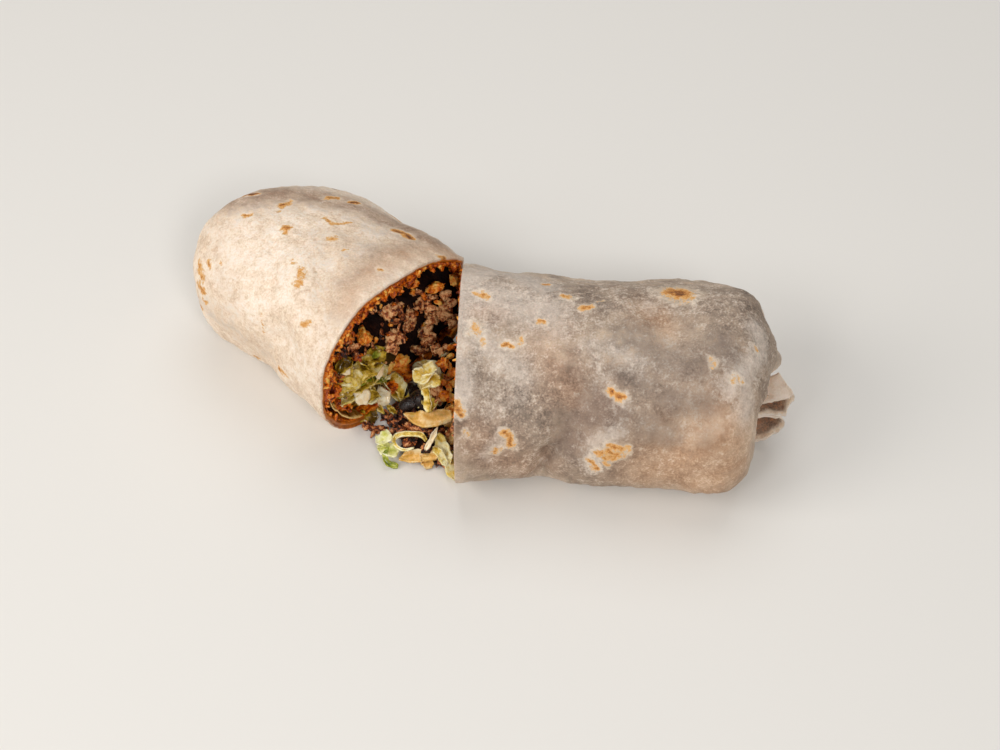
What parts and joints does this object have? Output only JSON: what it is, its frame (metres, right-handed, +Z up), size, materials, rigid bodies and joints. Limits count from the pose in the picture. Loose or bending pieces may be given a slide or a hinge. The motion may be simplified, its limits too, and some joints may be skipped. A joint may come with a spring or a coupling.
{
  "type": "burrito cut in half",
  "caption": "Flour-tortilla burrito cut across in two halves that touch at the back of the cut, with beef, rice and lettuce showing and spilling between them.",
  "frame": {"origin": "middle of the bounding box of the burrito at the surface it lies on", "axes": "+Z up from the table, -Y towards the eater, +X to the eater's right along the longer half"},
  "size_m": [0.2066, 0.1214, 0.0575],
  "materials": {
    "tortilla": "floury flour tortilla, cream with grey translucent zones and brown toast spots",
    "rice": "moist orange rice bound with melted cheese",
    "beef": "chopped grilled beef with dark beans, greasy",
    "lettuce": "moist shredded lettuce, green pepper and onion",
    "leaf": "pale limp lettuce"
  },
  "bodies": {
    "root": {"tortilla_left": "tortilla", "tortilla_right": "tortilla", "rice_left": "rice", "rice_right": "rice", "meat_left": "beef", "meat_right": "beef", "meat_spilled": "beef", "lettuce_left": "lettuce", "lettuce_right": "lettuce", "leaf_pale_yellow": "leaf", "leaf_inner": "leaf", "shred_white": "leaf", "leaf_curled": "leaf", "leaf_crumpled": "leaf", "shred_green": "leaf", "leaf_tan": "leaf"}
  },
  "joints": []
}
